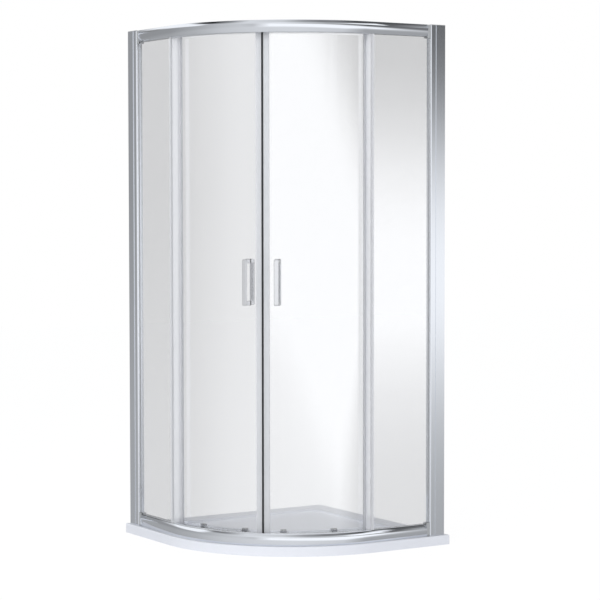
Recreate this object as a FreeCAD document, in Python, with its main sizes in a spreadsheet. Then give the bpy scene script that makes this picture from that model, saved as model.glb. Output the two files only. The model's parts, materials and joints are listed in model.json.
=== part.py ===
"""Quadrant shower enclosure on a low tray: two sliding curved doors between two fixed panes.

Frame: +Z up, origin at the middle of the tray's underside. The walls stand behind x = -tray_side / 2
(left wall) and y = +tray_side / 2 (back wall); the curved front faces +X and -Y. Lengths in mm.

Three working coordinates are used throughout.
    along   distance from the wall edge of the tray, measured along one of the two straight legs
    inset   distance inward from the outline of the tray
    angle   degrees from the middle of the curved front, about the centre of the curve
"""
import FreeCAD, Part
import math
import os

import Sketcher
from FreeCAD import Placement, Rotation, Vector

# ------------------------------------------------------------------ driving dimensions

DIMENSIONS = [
    # tray
    ("tray_side", 900), ("corner_radius", 550), ("tray_height", 35), ("tray_rim", 2),
    ("tray_corner", 6),
    ("recess_inset", 82), ("recess_corner", 55), ("recess_floor", 24), ("floor_slope", 0.3),
    ("recess_cove", 4), ("waste_radius", 45), ("waste_seat_radius", 58), ("waste_seat", 19),
    ("waste_inset", 190),
    # walls and posts
    ("tile_gap", 19), ("enclosure_height", 1900), ("post_front", 12), ("post_depth", 33),
    ("wall_profile_width", 40), ("wall_profile_wall", 1.6), ("slide_gap", 0.2), ("jamb_start", 7),
    ("jamb_end", 63), ("jamb_wall", 1.4), ("jamb_round", 4), ("cap_thickness", 2),
    ("wall_hole_radius", 3), ("wall_hole_first", 150),
    # rails
    ("rail_height", 44), ("rail_front", 16.4), ("rail_back", 50.5), ("rail_wall", 1.4),
    ("rail_lip", 7), ("rail_rim", 5), ("nose_radius", 58), ("nose_height", 26),
    ("groove_floor", 28.5), ("groove_height", 1.5), ("band_start", 33),
    # fixed panes and glazing
    ("glass_thickness", 6), ("pane_inset", 24), ("pane_short", 10), ("glazing_grip", 8),
    ("gasket_side", 1), ("gasket_end", 1), ("jamb_gasket_side", 1.5), ("jamb_grip", 12),
    # corner blocks
    ("block_thickness", 11), ("block_front", 17), ("block_back", 46), ("block_drop", 6.5),
    ("spigot_length", 20), ("spigot_gap", 0.4), ("block_round", 2),
    # seals
    ("seal_wall", 1.2), ("seal_grip", 11), ("fit_gap", 0.2), ("pane_fin_reach", 21),
    ("pane_fin_lean", 3.2), ("door_fin_reach", 8.6), ("magnet_half_gap", 0.35),
    ("magnet_thickness", 3.25), ("magnet_width", 9), ("magnet_seal_width", 21),
    # doors
    ("door_edge", 10), ("door_trail_angle", 47), ("door_gap", 9), ("roller_lead_angle", 8.8),
    ("roller_trail_angle", 31.5),
    # rollers
    ("wheel_radius", 11), ("wheel_width", 5), ("wheel_offset", 0.25),
    ("axle_radius", 3.5), ("axle_clearance", 0.05), ("slot_gap", 0.5), ("track_clearance", 0.3),
    ("roller_hole_radius", 9.5), ("sleeve_radius", 9.2), ("hanger_half", 12),
    ("hanger_corner", 3), ("hanger_gap", 16), ("hanger_depth", 10), ("plate_thickness", 5),
    ("inner_cap_thickness", 11), ("release_travel", 6), ("housing_half_width", 14),
    ("housing_wall", 3), ("housing_corner", 4), ("housing_depth", 15), ("housing_below", 17.3),
    ("housing_above", 14.7), ("plunger_gap", 0.3), ("plunger_below", 3.3), ("plunger_above", 21.2),
    ("spring_strip", 0.8), ("spring_half_width", 9), ("stop_length", 12), ("stop_gap", 1.5),
    # handles
    ("handle_angle", 6.5), ("handle_centre", 991), ("handle_height", 168), ("handle_radius", 9),
    ("handle_bend", 5.5), ("handle_standoff", 36),
    ("stud_radius", 3), ("stud_depth", 12), ("stud_hole_radius", 5),
    # door swing: the doors turn about a pole beside the centre of the curve
    ("door_travel", 25.5), ("pole_along_share", 0.0558), ("pole_across_share", 0.0487),
]

doc = FreeCAD.newDocument("quadrant_enclosure")
sheet = doc.addObject("Spreadsheet::Sheet", "dims")


class Size:
    """A length or an angle that carries its value and the sheet expression that gives it."""

    def __init__(self, value, text):
        self.value = float(value)
        self.text = text

    def __add__(self, other):
        other = size(other)
        return Size(self.value + other.value, "(%s + %s)" % (self.text, other.text))

    def __sub__(self, other):
        other = size(other)
        return Size(self.value - other.value, "(%s - %s)" % (self.text, other.text))

    def __mul__(self, other):
        other = size(other)
        return Size(self.value * other.value, "(%s * %s)" % (self.text, other.text))

    def __truediv__(self, other):
        other = size(other)
        return Size(self.value / other.value, "(%s / %s)" % (self.text, other.text))

    def __neg__(self):
        return Size(-self.value, "(-1 * %s)" % self.text)


def size(number):
    return number if isinstance(number, Size) else Size(number, repr(float(number)))


class Dimensions:
    """One Size per row of the sheet, under its alias."""


d = Dimensions()
for row, (alias, number) in enumerate(DIMENSIONS, start=1):
    sheet.set("A%d" % row, alias)
    sheet.set("B%d" % row, str(number))
    sheet.setAlias("B%d" % row, alias)
    setattr(d, alias, Size(number, "dims." + alias))
doc.recompute()

# ------------------------------------------------------------------ derived sizes

HALF = d.tray_side / 2
CURVE_X = HALF - d.corner_radius
CURVE_Y = d.corner_radius - HALF
LEG = d.tray_side - d.corner_radius
TRAY_TOP = d.tray_height
TOP = d.tray_height + d.enclosure_height
RAIL_FOOT = {"top": TOP - d.rail_height, "bottom": TRAY_TOP}
PANE_BACK = d.pane_inset + d.glass_thickness
SLOT_FRONT = d.pane_inset - d.gasket_side
SLOT_BACK = PANE_BACK + d.gasket_side
SLOT_DEPTH = d.glazing_grip + d.gasket_end
JAMB_FACE = d.tile_gap + d.jamb_end
RAIL_END = JAMB_FACE + d.block_thickness
PANE_FREE_EDGE = LEG - d.pane_short
WALL_HOLE_PITCH = d.enclosure_height / 2 - d.wall_hole_first
WHEEL_INSET = (SLOT_BACK + d.rail_back) / 2 + d.wheel_offset
HANGER_INSET = WHEEL_INSET + d.hanger_gap
DOOR_RADIUS = d.corner_radius - HANGER_INSET - d.hanger_depth - d.glass_thickness / 2
DOOR_OUTER = DOOR_RADIUS + d.glass_thickness / 2
DOOR_INNER = DOOR_RADIUS - d.glass_thickness / 2
DOOR_FOOT = TRAY_TOP + d.door_gap
DOOR_HEAD = TOP - d.door_gap
WHEEL_RISE = d.rail_wall + d.track_clearance + d.wheel_radius
LOW_AXLE = TRAY_TOP + d.rail_height - WHEEL_RISE
HOUSING_FOOT, HOUSING_TOP = LOW_AXLE - d.housing_below, LOW_AXLE + d.housing_above
PLUNGER_FOOT, PLUNGER_TOP = LOW_AXLE - d.plunger_below, LOW_AXLE + d.plunger_above
HANGER_FOOT = -d.roller_hole_radius - 0.3
SIDES = ("left", "right")
LEVELS = ("top", "bottom")
MIDDLE = -45.0
UP = Vector(0, 0, 1)


def hand(side):
    """-1 for the left half, +1 for the right half, as angles about the curve's centre count."""
    return -1 if side == "left" else 1


def leg_point(side, along, inset):
    """Plan position on a leg from its two working coordinates."""
    along, inset = size(along), size(inset)
    if side == "left":
        return along - HALF, inset - HALF
    return HALF - inset, HALF - along


def rail_height(level, rise):
    """Height of a point that lies rise away from the glazing side of a rail."""
    if level == "top":
        return RAIL_FOOT["top"] + rise
    return RAIL_FOOT["bottom"] + d.rail_height - rise


def arc_angle(length, radius):
    """Angle in degrees of an arc."""
    return size(length) / radius * Size(180 / math.pi, "180 / pi")


# ------------------------------------------------------------------ sketches and features

nodes = {}


def node(name, obj):
    """Names an object as a sub-part."""
    obj.Label = name
    nodes[name] = obj
    return obj


def arc_edge(start, end, radius, turn):
    """Arc shorter than half a circle; turn is +1 when it runs anticlockwise from start to end."""
    chord = end - start
    across = Vector(-chord.y, chord.x, 0).normalize() * turn
    rise = math.sqrt(max(radius ** 2 - (chord.Length / 2) ** 2, 0))
    centre = (start + end) * 0.5 + across * rise
    first, last = (start, end) if turn > 0 else (end, start)
    begin = math.atan2(first.y - centre.y, first.x - centre.x)
    finish = math.atan2(last.y - centre.y, last.x - centre.x)
    if finish <= begin:
        finish += 2 * math.pi
    return Part.ArcOfCircle(Part.Circle(centre, UP, radius), begin, finish)


def constrain(sketch, constraint, text):
    index = sketch.addConstraint(constraint)
    sketch.setExpression("Constraints[%d]" % index, text)


def add_line(sketch, corners, closed=True):
    """Outline or path. A corner is (x, y), or (x, y, radius, turn) when an arc leaves it."""
    base = sketch.GeometryCount
    count = len(corners)
    points = [Vector(size(c[0]).value, size(c[1]).value, 0) for c in corners]
    starts, ends = [], []
    for i, corner in enumerate(corners if closed else corners[:-1]):
        start, end = points[i], points[(i + 1) % count]
        if len(corner) == 2:
            sketch.addGeometry(Part.LineSegment(start, end), False)
            backward = False
        else:
            sketch.addGeometry(arc_edge(start, end, size(corner[2]).value, corner[3]), False)
            backward = corner[3] < 0
        starts.append(2 if backward else 1)
        ends.append(1 if backward else 2)
    for i in range(len(starts) if closed else len(starts) - 1):
        follower = (i + 1) % count
        sketch.addConstraint(Sketcher.Constraint("Coincident", base + i, ends[i], base + follower,
                                                 starts[follower]))
    spots = [(base + i, starts[i]) for i in range(len(starts))]
    if not closed:
        spots.append((base + count - 2, ends[-1]))
    for (edge, point), corner in zip(spots, corners):
        for kind, number in (("DistanceX", size(corner[0])), ("DistanceY", size(corner[1]))):
            constrain(sketch, Sketcher.Constraint(kind, -1, 1, edge, point, number.value),
                      number.text)
    for i, corner in enumerate(corners):
        if len(corner) == 4:
            radius = size(corner[2])
            constrain(sketch, Sketcher.Constraint("Radius", base + i, radius.value), radius.text)


def add_circle(sketch, x, y, radius):
    index = sketch.addGeometry(Part.Circle(Vector(x.value, y.value, 0), UP, radius.value), False)
    for kind, number in (("DistanceX", x), ("DistanceY", y)):
        constrain(sketch, Sketcher.Constraint(kind, -1, 1, index, 3, number.value), number.text)
    constrain(sketch, Sketcher.Constraint("Radius", index, radius.value), radius.text)


def new_body(name):
    return doc.addObject("PartDesign::Body", name)


def new_sketch(body, role, loops, lift=None, closed=True):
    """Sketch on one of the body's own planes, lifted along the plane's normal."""
    plane = next(f for f in body.Origin.OriginFeatures if f.Role == role)
    sketch = body.newObject("Sketcher::SketchObject", body.Name + "_sketch")
    sketch.AttachmentSupport = [(plane, "")]
    sketch.MapMode = "FlatFace"
    if lift is not None:
        sketch.AttachmentOffset = Placement(Vector(0, 0, lift.value), Rotation())
        sketch.setExpression(".AttachmentOffset.Base.z", lift.text)
    for loop in loops:
        if len(loop) == 3 and isinstance(loop[2], Size):
            add_circle(sketch, *loop)
        else:
            add_line(sketch, loop, closed)
    return sketch


def feature(body, kind, sketch, **bound):
    """PartDesign feature on a sketch, with its sizes bound to the sheet."""
    made = body.newObject("PartDesign::" + kind, body.Name + "_" + kind.lower())
    made.Profile = sketch
    for name, number in bound.items():
        number = size(number)
        setattr(made, name, number.value)
        made.setExpression(name, number.text)
    sketch.Visibility = False
    return made


def pad(body, sketch, length, reverse=False):
    made = feature(body, "Pad", sketch, Length=length)
    made.Reversed = reverse
    return made


def revolve(body, sketch, angle=360, reverse=False):
    made = feature(body, "Revolution", sketch, Angle=angle)
    made.ReferenceAxis = (sketch, ["V_Axis"])
    made.Reversed = reverse
    return made


def place(obj, x, y, z, rotation=None):
    """Position bound to the sheet, with a fixed rotation."""
    x, y, z = size(x), size(y), size(z)
    obj.Placement = Placement(Vector(x.value, y.value, z.value), rotation or Rotation())
    for axis, number in (("x", x), ("y", y), ("z", z)):
        obj.setExpression(".Placement.Base." + axis, number.text)
    return obj


def prism(name, loops, foot, height):
    """Upright extrusion of plan outlines."""
    body = new_body(name)
    pad(body, new_sketch(body, "XY_Plane", loops, size(foot)), size(height))
    return body


def tool(kind, name, **bound):
    """Part primitive with bound sizes."""
    made = doc.addObject("Part::" + kind, name)
    for key, number in bound.items():
        number = size(number)
        setattr(made, key, number.value)
        made.setExpression(key, number.text)
    return made


def cut(name, base, tools):
    """Base less one tool, or less several fused ones."""
    made = doc.addObject("Part::Cut", name)
    made.Base = base
    made.Tool = tools[0] if len(tools) == 1 else fuse(name + "_tools", tools)
    return made


def fuse(name, shapes):
    made = doc.addObject("Part::MultiFuse", name)
    made.Shapes = shapes
    return made


def group(name, members):
    """Identical pieces that share one node."""
    made = doc.addObject("Part::Compound", name)
    made.Links = members
    return node(name, made)


def mirrored(loop, side):
    """Plan outline in local coordinates, turned over for the left half."""
    if side == "right":
        return loop
    return [(-size(c[0]), c[1]) + ((c[2], -c[3]) if len(c) == 4 else ()) for c in loop]


def leg_loop(side, corners):
    """Plan outline on a leg from (along, inset) corners; arc turns are given for the left leg."""
    turned = 1 if side == "left" else -1
    return [leg_point(side, c[0], c[1]) + ((c[2], c[3] * turned) if len(c) == 4 else ())
            for c in corners]


# ------------------------------------------------------------------ positions on the curve

def world_angle(side, angle):
    return MIDDLE + hand(side) * angle


def radial_rotation(side, angle):
    """Local Z points outward along a radius, local Y points up."""
    return Rotation(UP, world_angle(side, angle)) * Rotation(Vector(1, 1, 1), 120)


def upright_rotation(side, angle):
    """Local Y points outward along a radius, local Z points up."""
    return Rotation(UP, world_angle(side, angle) - 90)


def place_on_curve(obj, side, angle, radius, height, rotation):
    """Puts a local origin at a radius, an angle and a height on the curve."""
    turn = math.radians(world_angle(side, size(angle).value))
    text = "(%r + %d * %s)" % (MIDDLE, hand(side), size(angle).text)
    cosine = Size(math.cos(turn), "cos(%s * 1 deg)" % text)
    sine = Size(math.sin(turn), "sin(%s * 1 deg)" % text)
    radius = size(radius)
    return place(obj, CURVE_X + radius * cosine, CURVE_Y + radius * sine, height, rotation)


def radial_cylinder(name, side, angle, radius, height, bore, length):
    """Cylinder that runs outward along a radius, from the given distance to the curve's centre."""
    made = tool("Cylinder", name, Radius=bore, Height=length)
    return place_on_curve(made, side, angle, radius, height,
                          radial_rotation(side, size(angle).value))


def along_the_front(name, section, start):
    """Section in (inset, height) swept along both legs and round the curve between them."""
    body = new_body(name)
    loop = [(d.corner_radius - c[0], c[1]) + ((c[2], -c[3]) if len(c) == 4 else ())
            for c in section]
    over = [(-c[0],) + c[1:2] + ((c[2], -c[3]) if len(c) == 4 else ()) for c in loop]
    straight = LEG - start
    right = new_sketch(body, "XZ_Plane", [loop])
    pad(body, right, straight, reverse=True)
    revolve(body, new_sketch(body, "XZ_Plane", [loop]), 90, reverse=True)
    left = new_sketch(body, "YZ_Plane", [over])
    pad(body, left, straight, reverse=True)
    return place(body, CURVE_X, CURVE_Y, 0)


# ------------------------------------------------------------------ tray

def tray_outline(inset, corner):
    """Outline of the tray moved inward, with its three square corners rounded."""
    low, high = inset - HALF, HALF - inset
    front = d.corner_radius - inset
    return [(low + corner, low), (CURVE_X, low, front, 1), (high, CURVE_Y),
            (high, high - corner, corner, 1), (high - corner, high),
            (low + corner, high, corner, 1), (low, high - corner),
            (low, low + corner, corner, 1)]


def make_tray():
    slab = prism("tray_slab", [tray_outline(size(0), d.tray_corner)], 0, d.tray_height)
    doc.recompute()
    sheer = slab.Tip
    rim = edges_at_height(sheer.Shape, d.tray_height.value)
    eased = slab.newObject("PartDesign::Chamfer", "tray_rim")
    eased.Base = (sheer, rim)
    eased.Size = d.tray_rim.value
    eased.setExpression("Size", d.tray_rim.text)

    waste_x = CURVE_X + (d.corner_radius - d.waste_inset) * math.cos(math.radians(MIDDLE))
    waste_y = CURVE_Y + (d.corner_radius - d.waste_inset) * math.sin(math.radians(MIDDLE))
    well = prism("recess", [tray_outline(d.recess_inset, d.recess_corner)], 0, d.tray_height)
    doc.recompute()
    deep = well.Tip
    coved = well.newObject("PartDesign::Chamfer", "recess_cove")
    coved.Base = (deep, edges_at_height(deep.Shape, 0))
    coved.Size = d.recess_cove.value
    coved.setExpression("Size", d.recess_cove.text)
    place(well, 0, 0, d.recess_floor, Rotation(Vector(1, 1, 0), d.floor_slope.value))
    well.setExpression(".Placement.Rotation.Angle", d.floor_slope.text + " * 1 deg")
    hole = place(tool("Cylinder", "waste_hole", Radius=d.waste_radius, Height=d.tray_height * 2),
                 waste_x, waste_y, -d.tray_height / 2)
    seat = place(tool("Cylinder", "waste_seat", Radius=d.waste_seat_radius, Height=d.tray_height),
                 waste_x, waste_y, d.waste_seat)
    node("tray", cut("tray", slab, [well, hole, seat]))


def edges_at_height(shape, height):
    return ["Edge%d" % (i + 1) for i, edge in enumerate(shape.Edges)
            if abs(edge.BoundBox.ZMin - height) < 1e-3 and abs(edge.BoundBox.ZMax - height) < 1e-3]


# ------------------------------------------------------------------ posts at the walls

def make_wall_profile(side):
    """Channel screwed to the wall, open towards the glass."""
    wall, front = d.wall_profile_wall, d.post_front
    back = d.post_front + d.post_depth
    start = d.tile_gap
    end = d.tile_gap + d.wall_profile_width
    loop = [(start, front), (end, front), (end, front + wall), (start + wall, front + wall),
            (start + wall, back - wall), (end, back - wall), (end, back), (start, back)]
    channel = prism(side + "_channel", [leg_loop(side, loop)], TRAY_TOP,
                    d.enclosure_height - d.cap_thickness)
    node(side + "_wall_profile", cut(side + "_wall_profile", channel, wall_hole_tools(side)))


def wall_hole_tools(side):
    made = []
    rotation = Rotation(Vector(0, 1, 0), -90) if side == "left" else Rotation(Vector(1, 0, 0), -90)
    reach = d.wall_profile_wall * 4
    start = d.tile_gap + d.wall_profile_wall * 2
    x, y = leg_point(side, start, d.post_front + d.post_depth / 2)
    for count in range(3):
        hole = tool("Cylinder", "%s_wall_hole_%d" % (side, count), Radius=d.wall_hole_radius,
                    Height=reach)
        place(hole, x, y, TRAY_TOP + d.wall_hole_first + WALL_HOLE_PITCH * count, rotation)
        made.append(hole)
    return made


def make_jamb(side):
    """Hollow post that slides in the wall profile and holds the edge of the fixed pane."""
    wall = d.jamb_wall
    front = d.post_front + d.wall_profile_wall + d.slide_gap
    back = d.post_front + d.post_depth - d.wall_profile_wall - d.slide_gap
    start = d.tile_gap + d.jamb_start
    end = JAMB_FACE
    slot_front = d.pane_inset - d.jamb_gasket_side
    slot_back = PANE_BACK + d.jamb_gasket_side
    slot_end = end - d.jamb_grip - d.gasket_end
    corner = d.jamb_round
    outer = [(start, front), (end - corner, front, corner, 1), (end, front + corner),
             (end, slot_front), (slot_end, slot_front), (slot_end, slot_back), (end, slot_back),
             (end, back), (start, back)]
    inner = [(start + wall, front + wall), (end - wall - corner, front + wall),
             (end - wall, front + corner + wall), (end - wall, slot_front - wall),
             (slot_end - wall, slot_front - wall), (slot_end - wall, slot_back + wall),
             (end - wall, slot_back + wall), (end - wall, back - wall), (start + wall, back - wall)]
    node(side + "_jamb", prism(side + "_jamb", [leg_loop(side, outer), leg_loop(side, inner)],
                               TRAY_TOP, d.enclosure_height - d.cap_thickness))


def make_post_cap(side):
    """Flat cover over the wall profile and the jamb."""
    front, back = d.post_front, d.post_front + d.post_depth
    loop = [(d.tile_gap, front), (JAMB_FACE, front), (JAMB_FACE, back), (d.tile_gap, back)]
    return prism(side + "_post_cap", [leg_loop(side, loop)], TOP - d.cap_thickness,
                 d.cap_thickness)


# ------------------------------------------------------------------ rails

def front_face(foot):
    """Outer face of a rail from its lower edge up: a bull nose, a groove and a flat band."""
    groove = d.rail_front + 5.6
    return [(d.rail_front + 4.6, foot, d.nose_radius, -1), (d.rail_front, foot + d.nose_height),
            (groove, foot + d.groove_floor), (groove, foot + d.groove_floor + d.groove_height),
            (d.rail_front + 0.3, foot + d.band_start),
            (d.rail_front + 1, foot + d.rail_height - 3.5),
            (d.rail_front + 4, foot + d.rail_height)]


def rail_section(level):
    """C section: glazing slot, track with an upstanding lip, and an open back."""
    foot = RAIL_FOOT[level]
    wall, back, height = d.rail_wall, d.rail_back, d.rail_height
    cavity = SLOT_FRONT + 0.6
    roof = SLOT_DEPTH + wall
    track = SLOT_BACK + wall
    glazing = [(SLOT_FRONT, size(0)), (SLOT_FRONT, SLOT_DEPTH), (SLOT_BACK, SLOT_DEPTH),
               (SLOT_BACK, size(0)), (back, size(0)), (back, d.rail_lip),
               (back - wall, d.rail_lip), (back - wall, wall), (track, wall), (track, roof),
               (cavity, roof)]
    closing = [(cavity, height - wall), (back - wall, height - wall),
               (back - wall, height - d.rail_rim), (back, height - d.rail_rim), (back, height)]
    inner = [(c[0], rail_height(level, c[1])) for c in glazing + closing]
    if level == "top":
        inner.reverse()
    return front_face(foot) + inner


def make_rail(level):
    node(level + "_rail", along_the_front(level + "_rail", rail_section(level), RAIL_END))


def make_slot_filler(level):
    """Strip that closes the empty glazing slot round the curve, between the two fixed panes."""
    low, high = SLOT_FRONT + d.fit_gap, SLOT_BACK - d.fit_gap
    heights = sorted((rail_height(level, size(0.2)), rail_height(level, SLOT_DEPTH - 1)),
                     key=lambda height: height.value)
    section = [(low, heights[0]), (high, heights[0]), (high, heights[1]), (low, heights[1])]
    return along_the_front(level + "_slot_filler", section, PANE_FREE_EDGE + 2)


def extruded_along(name, side, section, start, end):
    """Section in (inset, height) extruded along one leg."""
    body = new_body(name)
    if side == "left":
        loop = [(c[0] - HALF, c[1]) for c in section]
        pad(body, new_sketch(body, "YZ_Plane", [loop], start - HALF), end - start)
    else:
        loop = [(HALF - c[0], c[1]) for c in section]
        pad(body, new_sketch(body, "XZ_Plane", [loop], start - HALF), end - start)
    return body


def make_corner_block(level, side):
    """Moulded piece between the jamb and the end of a rail, slotted for the pane."""
    slot_front, slot_back = SLOT_FRONT - d.fit_gap, SLOT_BACK + d.fit_gap
    slot_end = SLOT_DEPTH + 1
    head = d.rail_height - 1
    corner = d.block_round
    face = [(d.block_front, -d.block_drop), (slot_front, -d.block_drop), (slot_front, slot_end),
            (slot_back, slot_end), (slot_back, -d.block_drop), (d.block_back, -d.block_drop),
            (d.block_back, head - corner), (d.block_back - corner, head),
            (d.block_front + corner, head), (d.block_front, head - corner)]
    body = extruded_along("%s_%s_block" % (level, side), side,
                          [(c[0], rail_height(level, size(c[1]))) for c in face],
                          JAMB_FACE, RAIL_END)
    low = SLOT_FRONT + 0.6 + d.spigot_gap
    base = SLOT_DEPTH + d.rail_wall + d.spigot_gap
    top = d.rail_height - d.rail_wall - d.spigot_gap
    spigot = [(low, base), (d.rail_back - d.rail_wall * 3, base),
              (d.rail_back - d.rail_wall * 3, top), (low, top)]
    plug = extruded_along("%s_%s_spigot" % (level, side), side,
                          [(c[0], rail_height(level, size(c[1]))) for c in spigot],
                          RAIL_END - d.spigot_gap, RAIL_END + d.spigot_length)
    return fuse("%s_%s_corner_block" % (level, side), [body, plug])


def make_door_stop(level, side):
    """Rubber block in the track that the last wheel meets when its door is fully open."""
    reach = wheel_reach(side)
    end = LEG - reach - d.stop_gap
    low = SLOT_BACK + d.rail_wall + d.fit_gap
    high = d.rail_back - d.rail_wall - d.fit_gap
    section = [(low, d.rail_wall), (high, d.rail_wall), (high, WHEEL_RISE), (low, WHEEL_RISE)]
    return extruded_along("%s_%s_stop" % (level, side), side,
                          [(c[0], rail_height(level, c[1])) for c in section],
                          end - d.stop_length, end)


def wheel_reach(side):
    """How far past the end of the curve the last wheel's rim is when its door is fully open."""
    radius = d.corner_radius.value - WHEEL_INSET.value
    turn = math.radians(d.roller_trail_angle.value - 45)
    wheel = (radius * math.cos(turn), radius * math.sin(turn))
    pole = (-d.pole_along_share.value * radius, d.pole_across_share.value * radius)
    swing = math.radians(d.door_travel.value)
    dx, dy = wheel[0] - pole[0], wheel[1] - pole[1]
    past = pole[1] + math.sin(swing) * dx + math.cos(swing) * dy
    return size(past + d.wheel_radius.value)


# ------------------------------------------------------------------ fixed panes

def make_pane(side):
    start = JAMB_FACE - d.jamb_grip
    front, back = d.pane_inset, PANE_BACK
    loop = [(start, front), (PANE_FREE_EDGE, front), (PANE_FREE_EDGE, back), (start, back)]
    foot = rail_height("bottom", d.glazing_grip)
    head = rail_height("top", d.glazing_grip)
    node(side + "_pane", prism(side + "_pane", [leg_loop(side, loop)], foot, head - foot))


def make_gaskets(side):
    """Glazing gaskets round the three held edges of a fixed pane."""
    front, back = d.pane_inset, PANE_BACK
    strips = []
    for level in LEVELS:
        section = [(SLOT_FRONT, size(0)), (front, size(0)), (front, d.glazing_grip),
                   (back, d.glazing_grip), (back, size(0)), (SLOT_BACK, size(0)),
                   (SLOT_BACK, SLOT_DEPTH), (SLOT_FRONT, SLOT_DEPTH)]
        strips.append(extruded_along("%s_%s_gasket" % (side, level), side,
                                     [(c[0], rail_height(level, c[1])) for c in section],
                                     RAIL_END, PANE_FREE_EDGE))
    end = JAMB_FACE
    pane_end = end - d.jamb_grip
    slot_end = pane_end - d.gasket_end
    low, high = front - d.jamb_gasket_side, back + d.jamb_gasket_side
    loop = [(end, low), (slot_end, low), (slot_end, high), (end, high), (end, back),
            (pane_end, back), (pane_end, front), (end, front)]
    foot = rail_height("bottom", d.glazing_grip)
    head = rail_height("top", d.glazing_grip)
    strips.append(prism(side + "_jamb_gasket", [leg_loop(side, loop)], foot, head - foot))
    group(side + "_pane_gaskets", strips)


def make_pane_seal(side):
    """Clip-on strip on the free edge of a fixed pane, with a fin that leans to the door."""
    wall, gap = d.seal_wall, d.fit_gap
    edge = PANE_FREE_EDGE + gap
    tail = edge - d.seal_grip
    front, back = d.pane_inset - gap, PANE_BACK + gap
    tip = back + d.pane_fin_reach
    lean = d.pane_fin_lean
    loop = [(tail, front), (edge, front), (edge, back), (tail, back), (tail, back + wall),
            (edge, back + wall), (edge + lean, tip), (edge + lean + wall, tip),
            (edge + wall, back), (edge + wall, front - wall), (tail, front - wall)]
    foot = rail_height("bottom", -d.fit_gap)
    head = rail_height("top", -d.fit_gap)
    node(side + "_pane_seal", prism(side + "_pane_seal", [leg_loop(side, loop)], foot,
                                    head - foot))


# ------------------------------------------------------------------ doors

def roller_spots(side):
    return [("lead", side, d.roller_lead_angle), ("trail", side, d.roller_trail_angle)]


def axle_height(level):
    return rail_height(level, WHEEL_RISE)


def hole_height(level):
    """The lower holes leave room for the release travel."""
    if level == "top":
        return axle_height(level)
    return axle_height(level) - d.release_travel / 2


def make_door_glass(side):
    """Curved pane, bored for its rollers and its handle."""
    body = new_body(side + "_door_blank")
    profile = [(DOOR_INNER, DOOR_FOOT), (DOOR_OUTER, DOOR_FOOT), (DOOR_OUTER, DOOR_HEAD),
               (DOOR_INNER, DOOR_HEAD)]
    edge = arc_angle(d.door_edge, DOOR_RADIUS)
    span = d.door_trail_angle - edge
    revolve(body, new_sketch(body, "XZ_Plane", [profile]), span)
    begin = edge if side == "right" else -d.door_trail_angle
    place(body, CURVE_X, CURVE_Y, 0, Rotation(UP, MIDDLE + begin.value))
    body.setExpression(".Placement.Rotation.Angle", "(%r + %s) * 1 deg" % (MIDDLE, begin.text))
    length = d.glass_thickness * 3
    tools = []
    for place_name, _, angle in roller_spots(side):
        for level in LEVELS:
            name = "%s_%s_%s_hole" % (side, place_name, level)
            tools.append(radial_cylinder(name, side, angle, DOOR_RADIUS - length / 2,
                                         hole_height(level), d.roller_hole_radius, length))
    for end in (-1, 1):
        name = "%s_handle_hole_%s" % (side, "low" if end < 0 else "high")
        tools.append(radial_cylinder(name, side, d.handle_angle, DOOR_RADIUS - length / 2,
                                     handle_fixing(end), d.stud_hole_radius, length))
    node(side + "_door_glass", cut(side + "_door_glass", body, tools))


def edge_strip(name, side, loops, arc_length, foot, height):
    """Upright strip at an arc length from the middle, in local (away from middle, outward) axes."""
    body = new_body(name)
    pad(body, new_sketch(body, "XY_Plane", [mirrored(loop, "left" if side == "right" else "right")
                                            for loop in loops]), height)
    angle = arc_angle(arc_length, DOOR_RADIUS)
    return place_on_curve(body, side, angle, DOOR_RADIUS, foot,
                          upright_rotation(side, angle.value))


def make_magnetic_edge(side):
    """Clear holder on the leading edge of a door, and the magnetic strip on its nose."""
    half, wall, gap = d.glass_thickness / 2, d.seal_wall, d.fit_gap
    nose = d.magnet_half_gap + d.magnet_thickness
    tail = nose + d.magnet_seal_width
    centre = (d.door_edge + tail) / 2
    glass_end = d.door_edge - gap - centre
    inner, outer = half + gap, half + gap + wall
    holder = [(tail - centre, inner), (tail - centre, outer), (nose - centre, outer + 0.4),
              (nose - centre, -outer - 0.4), (tail - centre, -outer), (tail - centre, -inner),
              (glass_end, -inner), (glass_end, inner)]
    chamber = [(nose - centre + wall, inner), (glass_end - wall, inner),
               (glass_end - wall, -inner), (nose - centre + wall, -inner)]
    foot = DOOR_FOOT
    height = DOOR_HEAD - DOOR_FOOT
    name = side + "_magnet_holder"
    node(name, edge_strip(name, side, [holder, chamber], centre, foot, height))
    low, wide = d.magnet_half_gap - centre, d.magnet_width / 2
    strip = [(low, wide), (nose - centre, wide), (nose - centre, -wide), (low, -wide)]
    name = side + "_magnet_strip"
    node(name, edge_strip(name, side, [strip], centre, foot, height))


def make_trailing_seal(side):
    """Clip-on strip on the trailing edge of a door, with a fin towards the fixed pane."""
    half, wall, gap = d.glass_thickness / 2, d.seal_wall, d.fit_gap
    inner, outer = half + gap, half + gap + wall
    tip = outer + d.door_fin_reach
    tail = -d.seal_grip
    loop = [(tail, inner), (tail, outer), (gap, outer), (gap, tip), (gap + wall, tip),
            (gap + wall, -outer), (tail, -outer), (tail, -inner), (gap, -inner), (gap, inner)]
    arc = d.door_trail_angle * DOOR_RADIUS * Size(math.pi / 180, "pi / 180")
    name = side + "_trailing_seal"
    node(name, edge_strip(name, side, [loop], arc, DOOR_FOOT, DOOR_HEAD - DOOR_FOOT))


def turned(name, side, angle, height, profile, base_radius):
    """Turned piece on a radius. Profile corners are (radius, distance outward from base_radius)."""
    body = new_body(name)
    revolve(body, new_sketch(body, "XZ_Plane", [profile]))
    return place_on_curve(body, side, angle, base_radius, height,
                          radial_rotation(side, angle.value))


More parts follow.
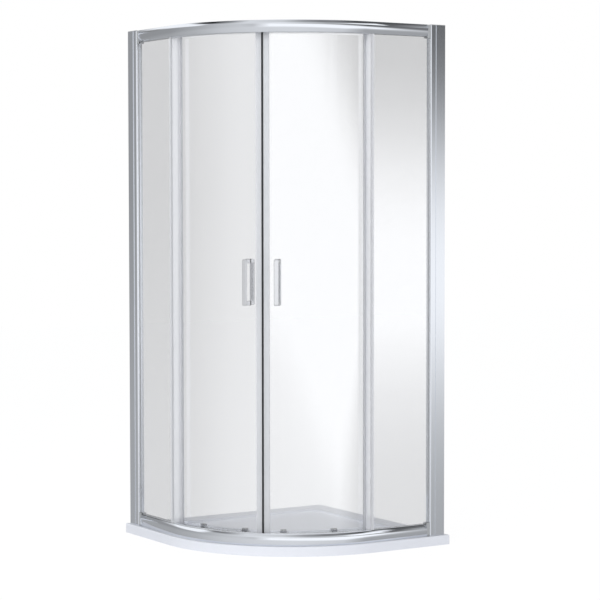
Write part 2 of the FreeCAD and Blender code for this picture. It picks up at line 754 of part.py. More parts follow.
def wheel_front():
    """Distance from the curve's centre to the outer face of a wheel."""
    return d.corner_radius - WHEEL_INSET + d.wheel_width / 2


def make_wheel(level, place_name, side, angle):
    """Plain roller that turns on its axle."""
    bore = d.axle_radius + d.axle_clearance
    profile = [(bore, size(0)), (d.wheel_radius, size(0)), (d.wheel_radius, d.wheel_width),
               (bore, d.wheel_width)]
    name = "%s_%s_%s_wheel" % (side, level, place_name)
    node(name, turned(name, side, angle, axle_height(level), profile,
                      wheel_front() - d.wheel_width))


def outline(half_width, low, high, corner):
    """Rectangle with cut corners, in local (across, up) axes."""
    return [(corner - half_width, low), (half_width - corner, low), (half_width, low + corner),
            (half_width, high - corner), (half_width - corner, high),
            (corner - half_width, high), (-half_width, high - corner),
            (-half_width, low + corner)]


def plate(name, side, angle, height, loop, base, thickness):
    """Flat-faced block square to a radius, from base outward."""
    body = new_body(name)
    pad(body, new_sketch(body, "XY_Plane", [loop]), thickness)
    return place_on_curve(body, side, angle, base, height, radial_rotation(side, angle.value))


def make_top_hanger(place_name, side, angle):
    """Outer block, sleeve through the glass and axle for one upper wheel, in one piece."""
    name = "%s_%s_hanger" % (side, place_name)
    height = axle_height("top")
    half = d.hanger_half
    inside, face = DOOR_INNER - d.fit_gap, DOOR_OUTER + d.fit_gap
    front = d.corner_radius - HANGER_INSET
    block = plate(name + "_block", side, angle, height, outline(half, HANGER_FOOT, half,
                  d.hanger_corner), face, front - face)
    profile = [(size(0), size(0)), (d.sleeve_radius, size(0)), (d.sleeve_radius, face - inside),
               (d.axle_radius, face - inside), (d.axle_radius, wheel_front() - inside),
               (size(0), wheel_front() - inside)]
    pin = turned(name + "_pin", side, angle, height, profile, inside)
    return fuse(name, [block, pin])


def make_inner_cap(place_name, side, angle):
    """Block that clamps a hanger from inside the door."""
    thick, half = d.inner_cap_thickness, d.housing_half_width
    return plate("%s_%s_cap" % (side, place_name), side, angle, axle_height("top"),
                 outline(half, HANGER_FOOT, half, d.hanger_corner),
                 DOOR_INNER - d.fit_gap * 2 - thick, thick)


def make_bottom_plate(place_name, side, angle):
    """Outer plate and slotted sleeve of a lower roller, clamped through the glass."""
    name = "%s_%s_plate" % (side, place_name)
    height = hole_height("bottom")
    half = d.hanger_half
    inside, face = DOOR_INNER - d.fit_gap, DOOR_OUTER + d.fit_gap
    block = plate(name + "_block", side, angle, height, outline(half, -half, half, d.hanger_corner),
                  face, d.plate_thickness)
    sleeve = radial_cylinder(name + "_sleeve", side, angle, inside, height, d.sleeve_radius,
                             face + 1 - inside)
    half, reach = d.axle_radius + d.slot_gap, d.release_travel / 2 + d.slot_gap
    end = half * 1.02
    loop = [(half, -reach), (half, reach, end, 1), (-half, reach), (-half, -reach, end, 1)]
    slot = plate(name + "_slot", side, angle, height, loop, inside - 1, d.glass_thickness * 4)
    return cut(name, fuse(name + "_solid", [block, sleeve]), [slot])


def local_box(name, side, angle, radius, half_width, length, foot, top):
    """Upright block centred on a radius, from the given distance outward."""
    body = new_body(name)
    loop = [(-half_width, size(0)), (half_width, size(0)), (half_width, length),
            (-half_width, length)]
    pad(body, new_sketch(body, "XY_Plane", [loop]), top - foot)
    return place_on_curve(body, side, angle, radius, foot, upright_rotation(side, angle.value))


def make_housing(place_name, side, angle):
    """Moulded cup on the inner face of the door that guides the release plunger."""
    wall, half, deep = d.housing_wall, d.housing_half_width, d.housing_depth
    face = DOOR_INNER - d.fit_gap * 2
    name = "%s_%s_housing" % (side, place_name)
    corner = d.housing_corner
    blank = new_body(name + "_blank")
    loop = [(-half, size(0)), (-half, corner - deep), (corner - half, -deep),
            (half - corner, -deep), (half, corner - deep), (half, size(0))]
    pad(blank, new_sketch(blank, "XY_Plane", [loop]), HOUSING_TOP - HOUSING_FOOT)
    place_on_curve(blank, side, angle, face, HOUSING_FOOT, upright_rotation(side, angle.value))
    well = local_box(name + "_well", side, angle, face - deep + wall, half - wall, deep,
                     HOUSING_FOOT + wall * 2, HOUSING_TOP + wall)
    return cut(name, blank, [well])


def make_plunger(place_name, side, angle):
    """Push button and the lower axle, in one piece that slides in its housing."""
    gap = d.plunger_gap
    face = DOOR_INNER - d.fit_gap * 4
    deep = d.housing_depth - d.housing_wall - gap
    back = DOOR_INNER - d.fit_gap * 2 - deep
    name = "%s_%s_release" % (side, place_name)
    block = local_box(name + "_block", side, angle, back, d.housing_half_width
                      - d.housing_wall - gap, face - back, PLUNGER_FOOT, PLUNGER_TOP)
    axle = radial_cylinder(name + "_axle", side, angle, face - 1, axle_height("bottom"),
                           d.axle_radius, wheel_front() - face + 1)
    node(name, fuse(name, [block, axle]))


def make_spring(place_name, side, angle):
    """Folded strip spring under a release plunger."""
    foot = HOUSING_FOOT + d.housing_wall * 2 + d.fit_gap
    head = PLUNGER_FOOT - d.fit_gap
    half, strip = d.spring_half_width, d.spring_strip
    rise = (head - foot - strip) / 2
    name = "%s_%s_spring" % (side, place_name)
    body = new_body(name)
    zigzag = [(-half, size(0)), (half, size(0)), (half, strip), (strip * 2 - half, strip),
              (half, rise), (half, rise + strip), (strip * 2 - half, rise * 2),
              (half, rise * 2), (half, rise * 2 + strip), (-half, rise * 2 + strip),
              (-half, rise * 2), (half - strip * 2, rise + strip / 2), (-half, strip)]
    width = d.housing_depth - d.housing_wall * 2
    pad(body, new_sketch(body, "XZ_Plane", [zigzag]), width)
    node(name, place_on_curve(body, side, angle, DOOR_INNER - d.housing_wall / 2, foot,
                              upright_rotation(side, angle.value)))


# ------------------------------------------------------------------ handles

def handle_fixing(end):
    """Height of the upper (+1) or lower (-1) fixing of the handles."""
    return d.handle_centre + (d.handle_height / 2 - d.handle_radius) * end


def make_handle(side, place_name):
    """Round bar bent to two legs. The outer and the inner handle stand back to back."""
    outward = 1 if place_name == "outer" else -1
    foot = (d.glass_thickness / 2 + d.fit_gap) * outward
    bar = d.handle_standoff * outward
    knee = (d.handle_standoff - d.handle_bend) * outward
    half, bend = d.handle_height / 2 - d.handle_radius, d.handle_bend
    name = "%s_%s_handle" % (side, place_name)
    body = new_body(name + "_bar")
    path = [(foot, -half), (knee, -half), (bar, bend - half), (bar, half - bend), (knee, half),
            (foot, half)]
    ring = new_sketch(body, "XZ_Plane", [(size(0), -half, d.handle_radius)], -foot)
    spine = new_sketch(body, "YZ_Plane", [path], closed=False)
    pipe = body.newObject("PartDesign::AdditivePipe", name + "_pipe")
    pipe.Profile = ring
    pipe.Spine = (spine, ["Edge%d" % (edge + 1) for edge in range(len(path) - 1)])
    pipe.Transition = "Right corner"
    place_on_curve(body, side, d.handle_angle, DOOR_RADIUS, d.handle_centre,
                   upright_rotation(side, d.handle_angle.value))
    inside = DOOR_RADIUS - d.glass_thickness / 2 - d.fit_gap
    gap = d.axle_clearance
    if outward > 0:
        reach = DOOR_RADIUS + foot - inside + d.stud_depth + 1
        studs = [radial_cylinder("%s_stud_%d" % (name, end), side, d.handle_angle,
                                 inside - d.stud_depth, handle_fixing(end), d.stud_radius, reach)
                 for end in (-1, 1)]
        node(name, fuse(name, [body] + studs))
    else:
        bores = [radial_cylinder("%s_bore_%d" % (name, end + 1), side, d.handle_angle,
                                 inside - d.stud_depth - gap, handle_fixing(end),
                                 d.stud_radius + gap, d.stud_depth + gap * 2)
                 for end in (-1, 1)]
        node(name, cut(name, body, bores))


# ------------------------------------------------------------------ assembly

make_tray()
for side_name in SIDES:
    make_wall_profile(side_name)
    make_jamb(side_name)
    make_pane(side_name)
    make_gaskets(side_name)
    make_pane_seal(side_name)
group("post_caps", [make_post_cap(side_name) for side_name in SIDES])
for level_name in LEVELS:
    make_rail(level_name)
    group(level_name + "_corner_blocks",
          [make_corner_block(level_name, side_name) for side_name in SIDES])
group("slot_fillers", [make_slot_filler(level_name) for level_name in LEVELS])
group("door_stops", [make_door_stop(level_name, side_name) for level_name in LEVELS
                     for side_name in SIDES])
for side_name in SIDES:
    spots = roller_spots(side_name)
    make_door_glass(side_name)
    make_magnetic_edge(side_name)
    make_trailing_seal(side_name)
    for handle_name in ("outer", "inner"):
        make_handle(side_name, handle_name)
    group(side_name + "_top_hangers", [make_top_hanger(*spot) for spot in spots])
    group(side_name + "_top_caps", [make_inner_cap(*spot) for spot in spots])
    group(side_name + "_bottom_plates", [make_bottom_plate(*spot) for spot in spots])
    group(side_name + "_release_housings", [make_housing(*spot) for spot in spots])
    for spot in spots:
        make_plunger(*spot)
        make_spring(*spot)
        for level_name in LEVELS:
            make_wheel(level_name, *spot)

doc.recompute()

# ------------------------------------------------------------------ checks and files

for obj in doc.Objects:
    if "Invalid" in obj.State or "Error" in obj.State:
        raise RuntimeError("%s is not sound: %s" % (obj.Label, obj.State))
for name, obj in nodes.items():
    if obj.Shape.isNull() or not obj.Shape.isValid() or not obj.Shape.Solids:
        raise RuntimeError("%s has no valid solid" % name)

os.makedirs("parts", exist_ok=True)
for name, obj in nodes.items():
    obj.Shape.exportStep(os.path.join("parts", name + ".step"))
print("%d sub-parts written" % len(nodes))
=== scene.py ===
"""Quadrant shower enclosure: polished aluminium, clear glass and a white tray in a pale studio."""
import json
import math

import bmesh
import bpy
from mathutils import Matrix, Vector


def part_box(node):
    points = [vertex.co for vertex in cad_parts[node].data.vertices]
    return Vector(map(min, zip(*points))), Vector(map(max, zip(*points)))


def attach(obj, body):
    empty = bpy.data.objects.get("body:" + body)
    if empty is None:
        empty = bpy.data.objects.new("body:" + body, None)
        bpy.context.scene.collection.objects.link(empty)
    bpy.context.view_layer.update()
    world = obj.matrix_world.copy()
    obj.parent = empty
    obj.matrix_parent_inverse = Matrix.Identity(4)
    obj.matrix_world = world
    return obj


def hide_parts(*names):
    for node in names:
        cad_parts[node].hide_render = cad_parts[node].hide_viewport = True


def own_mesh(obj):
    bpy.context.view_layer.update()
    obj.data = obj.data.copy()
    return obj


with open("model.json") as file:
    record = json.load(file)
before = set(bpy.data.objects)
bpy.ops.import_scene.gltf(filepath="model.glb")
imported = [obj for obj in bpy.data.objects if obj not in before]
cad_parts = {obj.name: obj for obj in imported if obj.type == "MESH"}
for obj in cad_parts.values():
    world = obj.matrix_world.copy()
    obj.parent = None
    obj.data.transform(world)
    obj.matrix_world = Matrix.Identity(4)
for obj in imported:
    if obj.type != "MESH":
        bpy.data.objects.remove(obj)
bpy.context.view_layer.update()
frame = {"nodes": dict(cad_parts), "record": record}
NODES = frame["nodes"]
SIDES = ("left", "right")
IMAGE_SIDE = 600
SLOTS = {entry["node"]: entry["material_slot"] for entry in frame["record"]["subparts"]}

# ------------------------------------------------------------------ node helpers


class Shader:
    """A material or world node tree with short calls."""

    def __init__(self, owner):
        owner.use_nodes = True
        self.tree = owner.node_tree
        self.tree.nodes.clear()

    def add(self, kind, values=None, links=None, **settings):
        made = self.tree.nodes.new(kind)
        for name, value in settings.items():
            setattr(made, name, value)
        for name, value in (values or {}).items():
            made.inputs[name].default_value = value
        for name, output in (links or {}).items():
            self.tree.links.new(output, made.inputs[name])
        return made

    def link(self, output, socket):
        self.tree.links.new(output, socket)


def new_material(name):
    """A material and its cleared node tree."""
    material = bpy.data.materials.new(name)
    return material, Shader(material)


def grain(shader, scale, stretch, detail=4.0):
    """Noise stretched along the object's axes."""
    place = shader.add("ShaderNodeTexCoord").outputs["Object"]
    mapping = shader.add("ShaderNodeMapping", {"Scale": stretch}, {"Vector": place})
    return shader.add("ShaderNodeTexNoise", {"Scale": scale, "Detail": detail},
                      {"Vector": mapping.outputs["Vector"]}).outputs["Fac"]


def ranged(shader, value, low, high):
    """Maps 0..1 to low..high."""
    return shader.add("ShaderNodeMapRange", {"To Min": low, "To Max": high},
                      {"Value": value}).outputs["Result"]


def bump(shader, height, strength, distance):
    return shader.add("ShaderNodeBump", {"Strength": strength, "Distance": distance},
                      {"Height": height}).outputs["Normal"]


# ------------------------------------------------------------------ materials

def metal(name, colour, roughness, stretch, relief=0.02):
    """Polished metal with faint draw lines along its length."""
    material, shader = new_material(name)
    lines = grain(shader, 60.0, stretch)
    rough = ranged(shader, lines, roughness * 0.8, roughness * 1.25)
    normal = bump(shader, lines, relief, 0.0002)
    surface = shader.add("ShaderNodeBsdfPrincipled", {"Base Color": colour, "Metallic": 1.0},
                         {"Roughness": rough, "Normal": normal})
    shader.add("ShaderNodeOutputMaterial", links={"Surface": surface.outputs[0]})
    return material


def plastic(name, colour, roughness, relief=0.03, scale=900.0, coat=0.0):
    """Moulded plastic or rubber with a fine texture."""
    material, shader = new_material(name)
    speckle = grain(shader, scale, (1.0, 1.0, 1.0))
    rough = ranged(shader, speckle, roughness * 0.85, roughness * 1.2)
    normal = bump(shader, speckle, relief, 0.0003)
    surface = shader.add("ShaderNodeBsdfPrincipled",
                         {"Base Color": colour, "Coat Weight": coat, "Coat Roughness": 0.08},
                         {"Roughness": rough, "Normal": normal})
    shader.add("ShaderNodeOutputMaterial", links={"Surface": surface.outputs[0]})
    return material


def clear(name, colour, roughness, ior, mirror=0.0, relief=0.0):
    """Glass or clear plastic that lets the lamps' light through; mirror adds plain reflection."""
    material, shader = new_material(name)
    ripple = grain(shader, 2.0, (1.0, 1.0, 0.4), 1.0)
    values = {"Transmission Weight": 1.0, "IOR": ior, "Roughness": roughness}
    darker = tuple(0.985 * part for part in colour[:3]) + (1,)
    tint = shader.add("ShaderNodeMix", links={"Factor": ripple}, data_type="RGBA")
    tint.inputs["A"].default_value = colour
    tint.inputs["B"].default_value = darker
    links = {"Base Color": tint.outputs["Result"]}
    if relief:
        links["Normal"] = bump(shader, ripple, relief, 0.002)
    surface = shader.add("ShaderNodeBsdfPrincipled", values, links).outputs[0]
    if mirror:
        gloss = shader.add("ShaderNodeBsdfGlossy", {"Color": (1, 1, 1, 1), "Roughness": 0.0})
        surface = shader.add("ShaderNodeMixShader", {0: mirror}, {
            1: surface, 2: gloss.outputs[0]}).outputs[0]
    passing = shader.add("ShaderNodeBsdfTransparent", {"Color": (0.9, 0.9, 0.9, 1)})
    path = shader.add("ShaderNodeLightPath")
    mixed = shader.add("ShaderNodeMixShader", links={
        0: path.outputs["Is Shadow Ray"], 1: surface, 2: passing.outputs[0]})
    shader.add("ShaderNodeOutputMaterial", links={"Surface": mixed.outputs[0]})
    return material


def milky(name, colour, share, roughness):
    """Pale translucent plastic: a matt body that lets part of the view through."""
    material, shader = new_material(name)
    haze = grain(shader, 35.0, (1.0, 1.0, 0.15), 2.0)
    body = shader.add("ShaderNodeBsdfPrincipled", {"Base Color": colour, "IOR": 1.45},
                      {"Roughness": ranged(shader, haze, roughness * 0.8, roughness * 1.2),
                       "Normal": bump(shader, haze, 0.03, 0.0005)})
    passing = shader.add("ShaderNodeBsdfTransparent", {"Color": (0.93, 0.935, 0.95, 1)})
    mixed = shader.add("ShaderNodeMixShader", links={
        0: ranged(shader, haze, share - 0.04, share + 0.04), 1: passing.outputs[0],
        2: body.outputs[0]})
    shader.add("ShaderNodeOutputMaterial", links={"Surface": mixed.outputs[0]})
    return material


# One material for each slot of the record, and "rail" for the rails' own draw lines.
MATERIALS = {
    "profile": metal("polished_aluminium", (0.84, 0.86, 0.90, 1), 0.11, (30.0, 30.0, 1.0)),
    "rail": metal("rail_aluminium", (0.84, 0.86, 0.90, 1), 0.05, (1.0, 1.0, 40.0)),
    "handle_chrome": metal("handle_chrome", (0.88, 0.88, 0.90, 1), 0.24, (3.0, 3.0, 2.0), 0.006),
    "spring_steel": metal("spring_steel", (0.6, 0.6, 0.6, 1), 0.3, (10.0, 10.0, 10.0)),
    "clear_glass": clear("clear_glass", (0.965, 0.968, 0.98, 1), 0.0, 1.5, 0.21),
    "clear_seal": milky("clear_seal", (0.86, 0.865, 0.885, 1), 0.5, 0.3),
    "tray_resin": plastic("white_resin", (0.835, 0.85, 0.905, 1), 0.28, 0.02, 600.0, 0.4),
    "gasket": plastic("gasket", (0.62, 0.64, 0.66, 1), 0.55),
    "magnet": plastic("magnet_strip", (0.025, 0.025, 0.028, 1), 0.45),
    "moulding": plastic("grey_moulding", (0.42, 0.43, 0.44, 1), 0.3, 0.05, 700.0, 0.2),
    "stop_rubber": plastic("stop_rubber", (0.12, 0.12, 0.12, 1), 0.6),
    "wheel_nylon": plastic("wheel_nylon", (0.75, 0.75, 0.72, 1), 0.4),
}
LIGHT_MOULDING = plastic("light_moulding", (0.62, 0.63, 0.65, 1), 0.3, 0.05, 700.0, 0.2)
DARK_MOULDING = plastic("dark_moulding", (0.12, 0.12, 0.13, 1), 0.35, 0.05, 700.0, 0.2)


def dress():
    """Gives each CAD node the material of its slot in the record."""
    for name, slot in SLOTS.items():
        mesh = NODES[name].data
        mesh.materials.clear()
        mesh.materials.append(MATERIALS[slot])


# ------------------------------------------------------------------ detailed pieces

# Millimetres and degrees, as in the CAD source.
HALF, RADIUS, RAIL_END = 450.0, 550.0, 93.0
CENTRE = Vector((HALF - RADIUS, RADIUS - HALF, 0.0))
CURVE_STEPS = 72
RAIL_HEIGHT, RAIL_FRONT = 44.0, 16.4
GLASS_RADIUS, GLASS_FACE = 480.0, 3.2
HANDLE_HEIGHT, HANDLE_TURN = 991.0, 6.5
# Glazing slot, track and open back of a rail, as (distance in from the outline, height).
RAIL_BACK = [(23, 0), (23, 9), (31, 9), (31, 0), (50.5, 0), (50.5, 7), (49.1, 7), (49.1, 1.4),
             (32.4, 1.4), (32.4, 10.4), (23.6, 10.4), (23.6, 42.6), (49.1, 42.6), (49.1, 39),
             (50.5, 39), (50.5, 44)]


def add_piece(name, mesh, body, material, slot, *nodes):
    """Places a mesh on a body, in the stead of CAD nodes where some are given."""
    piece = bpy.data.objects.new(name, mesh)
    bpy.context.scene.collection.objects.link(piece)
    mesh.materials.clear()
    mesh.materials.append(material)
    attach(piece, body)
    if nodes:
        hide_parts(*nodes)
    return piece


def even_shading(piece):
    """Smooth shading that keeps wide faces flat and rounds the narrow ones between them."""
    for face in piece.data.polygons:
        face.use_smooth = True
    piece.modifiers.new("even_shading", "WEIGHTED_NORMAL").keep_sharp = False


def bend(x, y, radius, start, end, steps=4):
    """Points of an arc, in degrees."""
    turns = [math.radians(start + (end - start) * step / steps) for step in range(steps + 1)]
    return [(x + radius * math.cos(turn), y + radius * math.sin(turn)) for turn in turns]


def extrude(shape, rings):
    """Joins closed rings of points, in metres, into one solid with flat ends."""
    made = [[shape.verts.new(corner) for corner in ring] for ring in rings]
    for low, high in zip(made, made[1:]):
        for index in range(len(low)):
            after = (index + 1) % len(low)
            shape.faces.new((low[index], low[after], high[after], high[index]))
    shape.faces.new(made[0][::-1])
    shape.faces.new(made[-1])
    bmesh.ops.recalc_face_normals(shape, faces=shape.faces)


def finished(shape, name):
    """Turns the shape into a mesh and frees it."""
    mesh = bpy.data.meshes.new(name)
    shape.to_mesh(mesh)
    shape.free()
    return mesh


def front_line(tilt):
    """Outer face of a rail from its foot up: rounded foot, bulging nose, slope and shoulder."""
    bulge, bulge_height = 105.0, 27.5
    points = [(5.6, 0.0), (4.3, 0.35), (3.5, 1.3)]
    points += [(bulge - reach, height)
               for reach, height in bend(0.0, bulge_height, bulge, -13.8, 1.5, 9)]
    points += [(0.12, 30.8), (0.45, 32.4), (0.95, 34.0), (1.65, 35.8), (2.0, 36.6), (4.9, 42.8),
               (6.0, 44.0)]
    lean = math.tan(math.radians(tilt))
    line = [(inset + lean * height, height) for inset, height in points]
    front = min(inset for inset, height in line)
    return [(RAIL_FRONT + inset - front, height) for inset, height in line]


def rail_section(level):
    """Whole section of a rail: its face, the glazing slot, the track and the open back."""
    if level == "top":
        return front_line(0.0) + RAIL_BACK[::-1]
    return front_line(5.0) + [(inset, RAIL_HEIGHT - rise) for inset, rise in RAIL_BACK]


def rail_places(inset):
    """Plan positions along the front at a distance in from the outline: leg, curve, leg."""
    curve = bend(CENTRE.x, CENTRE.y, RADIUS - inset, -90, 0, CURVE_STEPS)
    return [(RAIL_END - HALF, inset - HALF), *curve, (HALF - inset, HALF - RAIL_END)]


def make_rail(level):
    """A rail in one length, with its nosed front, in the stead of the CAD rail."""
    name = level + "_rail"
    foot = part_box(name)[0][2]
    columns = [[(x / 1000, y / 1000, foot + height / 1000) for x, y in rail_places(inset)]
               for inset, height in rail_section(level)]
    shape = bmesh.new()
    extrude(shape, list(zip(*columns)))
    even_shading(add_piece(name + "_face", finished(shape, name + "_face"), "frame",
                           MATERIALS["rail"], "profile", name))


def make_handle(side, place):
    """Flat-faced bar handle with rounded corners, on two rubber pads against the glass."""
    outward = 1 if place == "outer" else -1
    turn = math.radians(-45 + (HANDLE_TURN if side == "right" else -HANDLE_TURN))
    radial = Vector((math.cos(turn), math.sin(turn), 0))
    across = Vector((-radial.y, radial.x, 0))
    # The middle of the glass, level with the middle of the handle.
    centre = CENTRE + Vector((0, 0, HANDLE_HEIGHT)) + radial * GLASS_RADIUS
    name = "%s_%s_handle" % (side, place)

    def slab(outline, half):
        """Rings of an outline (reach out from the glass, height) at both sides of the bar."""
        return [[(centre + radial * (reach * outward) + across * edge + Vector((0, 0, height)))
                 / 1000 for reach, height in outline] for edge in (-half, half)]

    out, inside, head, leg, half = 44.6, 36.4, 83.8, 15.0, 8.6
    outer_bend, inner_bend = 6.0, 3.0
    outline = [(GLASS_FACE, head),
               *bend(out - outer_bend, head - outer_bend, outer_bend, 90, 0),
               *bend(out - outer_bend, outer_bend - head, outer_bend, 0, -90),
               (GLASS_FACE, -head), (GLASS_FACE, leg - head),
               *bend(inside - inner_bend, leg + inner_bend - head, inner_bend, -90, 0),
               *bend(inside - inner_bend, head - leg - inner_bend, inner_bend, 0, 90),
               (GLASS_FACE, head - leg)]
    bar = bmesh.new()
    extrude(bar, slab(outline, half))
    rim = [edge for edge in bar.edges if edge.calc_face_angle(0) > math.radians(60)]
    bmesh.ops.bevel(bar, geom=rim, offset=0.0022, segments=3, profile=0.5, affect="EDGES",
                    clamp_overlap=True)
    even_shading(add_piece(name + "_bar", finished(bar, name + "_bar"), side + "_door",
                           MATERIALS["handle_chrome"], "handle_chrome", name))

    pad, border = 1.2, 0.8      # thickness, and how far a pad shows round its leg
    pads = bmesh.new()
    for low, high in ((leg - border - head, -border - head), (head + border, head + border - leg)):
        extrude(pads, slab([(GLASS_FACE, low), (GLASS_FACE + pad, low),
                            (GLASS_FACE + pad, high), (GLASS_FACE, high)], half + border))
    bmesh.ops.bevel(pads, geom=pads.edges[:], offset=0.0004, segments=2, profile=0.5,
                    affect="EDGES", clamp_overlap=True)
    even_shading(add_piece(name + "_pads", finished(pads, name + "_pads"), side + "_door",
                           MATERIALS["stop_rubber"], "stop_rubber"))


def soften(name, width, body="frame", material=None):
    """The node's own shape with its edges rounded by the given width in millimetres."""
    shape = bmesh.new()
    shape.from_mesh(NODES[name].data)
    bmesh.ops.remove_doubles(shape, verts=shape.verts, dist=1e-6)
    bmesh.ops.dissolve_limit(shape, angle_limit=math.radians(1.5), verts=shape.verts,
                             edges=shape.edges)
    sharp = [edge for edge in shape.edges
             if len(edge.link_faces) == 2 and edge.calc_face_angle(0) > math.radians(35)]
    bmesh.ops.bevel(shape, geom=sharp, offset=width / 1000, segments=2, profile=0.5,
                    affect="EDGES", clamp_overlap=True)
    piece = add_piece(name + "_soft", finished(shape, name + "_soft"), body,
                      material or MATERIALS[SLOTS[name]], SLOTS[name], name)
    even_shading(piece)
    return piece


# ------------------------------------------------------------------ stage, light and camera

def ramp(shader, value, stops):
    """Piecewise linear value; stops are (position in degrees, level)."""
    low, high = stops[0][0], stops[-1][0]
    place = shader.add("ShaderNodeMapRange", {"From Min": low, "From Max": high}, {"Value": value})
    made = shader.add("ShaderNodeValToRGB", links={"Fac": place.outputs["Result"]})
    marks = made.color_ramp.elements
    while len(marks) < len(stops):
        marks.new(0.5)
    for mark, (position, level) in zip(marks, stops):
        mark.position = (position - low) / (high - low)
        mark.color = (level, level, level, 1)
    return made.outputs["Color"]


def math_node(shader, operation, first, second=None):
    """One sum; each side is a number or another node's output."""
    inputs, links = {}, {}
    for index, value in enumerate((first, second)):
        if value is None:
            continue
        if isinstance(value, (int, float)):
            inputs[index] = value
        else:
            links[index] = value
    return shader.add("ShaderNodeMath", inputs, links, operation=operation).outputs[0]


def blended(shader, share, first, second):
    """First at share 0, second at share 1; the second may be a plain number."""
    mixed = shader.add("ShaderNodeMix", links={"Factor": share}, data_type="FLOAT")
    shader.link(first, mixed.inputs["A"])
    if isinstance(second, float):
        mixed.inputs["B"].default_value = second
    else:
        shader.link(second, mixed.inputs["B"])
    return mixed.outputs["Result"]


def studio_level(shader):
    """Brightness of the studio by bearing from +X and by elevation, both in degrees."""
    direction = shader.add("ShaderNodeTexCoord").outputs["Generated"]
    parts = shader.add("ShaderNodeSeparateXYZ", links={"Vector": direction}).outputs
    to_degrees = 180 / math.pi
    bearing = math_node(shader, "MULTIPLY",
                        math_node(shader, "ARCTAN2", parts["Y"], parts["X"]), to_degrees)
    rise = math_node(shader, "MULTIPLY", math_node(shader, "ARCSINE", parts["Z"]), to_degrees)
    # Levels round the studio: below the horizon, at it, on the bright shelf above, and overhead.
    low = ramp(shader, bearing, [(-180, 0.4), (-150, 0.42), (-120, 0.5), (-90, 0.66), (-60, 0.74),
                                 (-30, 0.78), (10, 0.7), (30, 0.42), (60, 0.4), (180, 0.4)])
    middle = ramp(shader, bearing, [(-180, 0.32), (-150, 0.34), (-135, 0.39), (-105, 0.5),
                                    (-90, 0.6), (-75, 0.66), (-58, 0.6), (-45, 0.3), (-10, 0.4),
                                    (14, 0.2), (30, 0.09), (37, 0.13), (60, 0.2), (90, 0.5),
                                    (108, 0.8), (128, 0.8), (137, 0.26), (180, 0.3)])
    high = ramp(shader, bearing, [(-180, 1.05), (-122, 1.05), (-112, 0.5), (-98, 0.6), (-43, 1.0),
                                  (-20, 0.75), (0, 0.6), (14, 0.7), (24, 1.15), (50, 1.15),
                                  (54, 0.1), (100, 0.4), (125, 0.9), (180, 1.05)])
    steep = ramp(shader, bearing, [(-180, 0.9), (-172, 0.35), (-155, 0.02), (-118, 0.02),
                                   (-98, 0.35), (-80, 0.8), (-43, 0.7), (-20, 0.4), (0, 0.25),
                                   (14, 0.25), (40, 0.08), (100, 0.12), (125, 0.9), (180, 0.9)])
    level = blended(shader, ramp(shader, rise, [(-6, 0), (0, 1)]), low, middle)
    level = blended(shader, ramp(shader, rise, [(16, 0), (22, 1)]), level, high)
    level = blended(shader, ramp(shader, rise, [(36, 0), (41, 1)]), level, steep)
    top = math_node(shader, "MAXIMUM", level, 1.1)
    level = blended(shader, ramp(shader, rise, [(66, 0), (74, 1)]), level, top)
    # One large softbox at the horizon, with a slanting top and a sagging lower edge.
    across = ramp(shader, bearing, [(-64, 0), (-57, 0.5), (-50, 1), (37, 1), (52, 0.5), (80, 0)])
    slanted = math_node(shader, "ADD", rise, math_node(shader, "MULTIPLY", bearing, 0.09))
    upper = ramp(shader, slanted,
                 [(1.9, 1), (2.9, 0.9), (3.9, 0.7), (4.9, 0.42), (5.9, 0.2), (6.9, 0.06), (8.0, 0)])
    dip = ramp(shader, bearing, [(-50, 0), (-30, 0.25), (-16, 0.5), (0, 0.85), (12, 1), (30, 0.2),
                                 (45, 0)])
    lower = ramp(shader, math_node(shader, "ADD", rise, math_node(shader, "MULTIPLY", dip, 4.0)),
                 [(-9.5, 0), (-7, 0.12), (-6, 0.25), (-5, 0.45), (-4, 0.75), (-3, 1)])
    box = math_node(shader, "MULTIPLY", math_node(shader, "MULTIPLY", across, upper), lower)
    return blended(shader, box, level, 1.12)


def make_world():
    """White behind the object, an even fill for matt surfaces and a soft studio in gloss."""
    world = bpy.data.worlds.new("studio")
    bpy.context.scene.world = world
    shader = Shader(world)
    path = shader.add("ShaderNodeLightPath").outputs
    mirrored = math_node(shader, "GREATER_THAN", path["Glossy Depth"], 0.5)
    matt = math_node(shader, "GREATER_THAN", path["Diffuse Depth"], 0.5)
    white = shader.add("ShaderNodeBackground", {"Color": (1, 1, 1, 1), "Strength": 1.0})
    fill = shader.add("ShaderNodeBackground", {"Color": (0.96, 0.98, 1.0, 1), "Strength": 0.78})
    gloss = shader.add("ShaderNodeBackground", {"Color": (0.965, 0.98, 1.0, 1)},
                       {"Strength": studio_level(shader)})
    seen = shader.add("ShaderNodeMixShader", links={0: mirrored, 1: white.outputs[0],
                                                    2: gloss.outputs[0]})
    mixed = shader.add("ShaderNodeMixShader", links={0: matt, 1: seen.outputs[0],
                                                     2: fill.outputs[0]})
    shader.add("ShaderNodeOutputWorld", links={"Surface": mixed.outputs[0]})


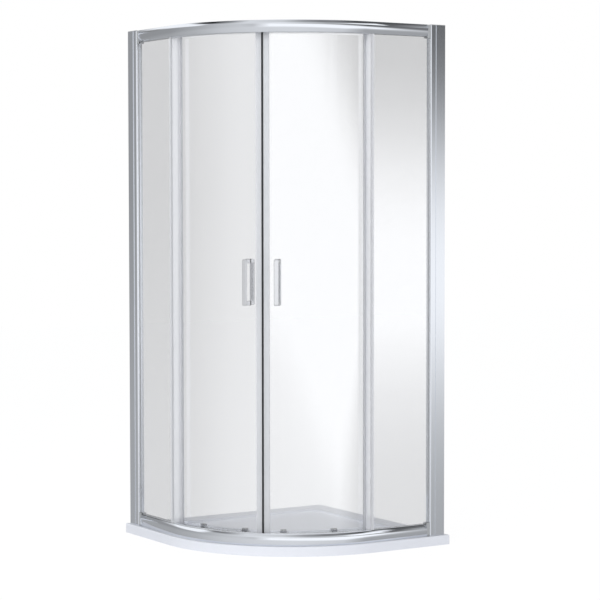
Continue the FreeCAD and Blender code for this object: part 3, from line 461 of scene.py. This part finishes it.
def make_floor():
    """Pale floor that keeps a faint shadow; polished surfaces mirror the studio through it."""
    size = 12.0
    mesh = bpy.data.meshes.new("floor")
    mesh.from_pydata([(-size, -size, 0), (size, -size, 0), (size, size, 0), (-size, size, 0)], [],
                     [(0, 1, 2, 3)])
    floor = bpy.data.objects.new("floor", mesh)
    bpy.context.scene.collection.objects.link(floor)
    material, shader = new_material("pale_floor")
    matt = shader.add("ShaderNodeBsdfDiffuse", {"Color": (0.9, 0.9, 0.9, 1)})
    glow = shader.add("ShaderNodeEmission", {"Color": (1, 1, 1, 1), "Strength": 1.03})
    beyond = shader.add("ShaderNodeBsdfTransparent")
    path = shader.add("ShaderNodeLightPath").outputs
    seen = math_node(shader, "MAXIMUM", path["Is Camera Ray"], path["Is Transmission Ray"])
    share = math_node(shader, "MULTIPLY", seen, 0.9)
    mixed = shader.add("ShaderNodeMixShader", links={
        0: share, 1: matt.outputs[0], 2: glow.outputs[0]})
    mirrored = math_node(shader, "GREATER_THAN", path["Glossy Depth"], 0.5)
    mixed = shader.add("ShaderNodeMixShader", links={
        0: mirrored, 1: mixed.outputs[0], 2: beyond.outputs[0]})
    shader.add("ShaderNodeOutputMaterial", links={"Surface": mixed.outputs[0]})
    mesh.materials.append(material)


def softbox(name, azimuth, height, distance, wide, tall, power):
    """Area light that faces the middle of the enclosure. Azimuth counts from +X towards +Y."""
    lamp = bpy.data.lights.new(name, "AREA")
    lamp.shape = "RECTANGLE"
    lamp.size, lamp.size_y = wide, tall
    lamp.energy = power
    lamp.specular_factor = 0.0
    obj = bpy.data.objects.new(name, lamp)
    bpy.context.scene.collection.objects.link(obj)
    turn = math.radians(azimuth)
    obj.location = (distance * math.cos(turn), distance * math.sin(turn), height)
    aim = Vector((0, 0, 1.0)) - obj.location
    obj.rotation_euler = aim.to_track_quat("-Z", "Y").to_euler()
    obj.visible_camera = obj.visible_glossy = obj.visible_transmission = False


def make_camera():
    """Camera placed by fitting the posts, rails and tray corners of the photograph."""
    place = Vector((6.563, -4.045, 1.297))
    yaw, pitch, roll = math.radians(147.90), math.radians(-2.89), math.radians(-0.064)
    ahead = Vector((math.cos(yaw) * math.cos(pitch), math.sin(yaw) * math.cos(pitch),
                    math.sin(pitch)))
    right = ahead.cross(Vector((0, 0, 1))).normalized()
    up = right.cross(ahead)
    right, up = (right * math.cos(roll) + up * math.sin(roll),
                 up * math.cos(roll) - right * math.sin(roll))
    data = bpy.data.cameras.new("camera")
    data.sensor_width = 36.0
    data.lens = 122.0
    data.shift_x, data.shift_y = -0.5 / IMAGE_SIDE, 0.5 / IMAGE_SIDE
    camera = bpy.data.objects.new("camera", data)
    bpy.context.scene.collection.objects.link(camera)
    turn = Matrix((right, up, -ahead)).transposed().to_4x4()
    camera.matrix_world = Matrix.Translation(place) @ turn
    bpy.context.scene.camera = camera


dress()
for level in ("top", "bottom"):
    make_rail(level)
for side in SIDES:
    door = side + "_door"
    soften(side + "_wall_profile", 0.8)
    soften(side + "_jamb", 0.8)
    soften(side + "_release_housings", 1.0, door, LIGHT_MOULDING)
    soften(side + "_bottom_plates", 0.7, door)
    soften(side + "_top_caps", 0.7, door)
    make_handle(side, "outer")
    make_handle(side, "inner")
    for place in ("lead", "trail"):
        release = "%s_%s_release" % (side, place)
        soften(release, 0.8, release, DARK_MOULDING)
        spring = "%s_%s_spring" % (side, place)
        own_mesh(soften(spring, 0.15, door))
for level in ("top", "bottom"):
    soften(level + "_corner_blocks", 0.8)
soften("post_caps", 0.4)
soften("door_stops", 0.6)
make_world()
make_floor()
softbox("key_light", azimuth=-52.0, height=3.2, distance=5.0, wide=3.0, tall=3.0, power=100.0)
make_camera()
bpy.context.scene.view_settings.view_transform = "Standard"
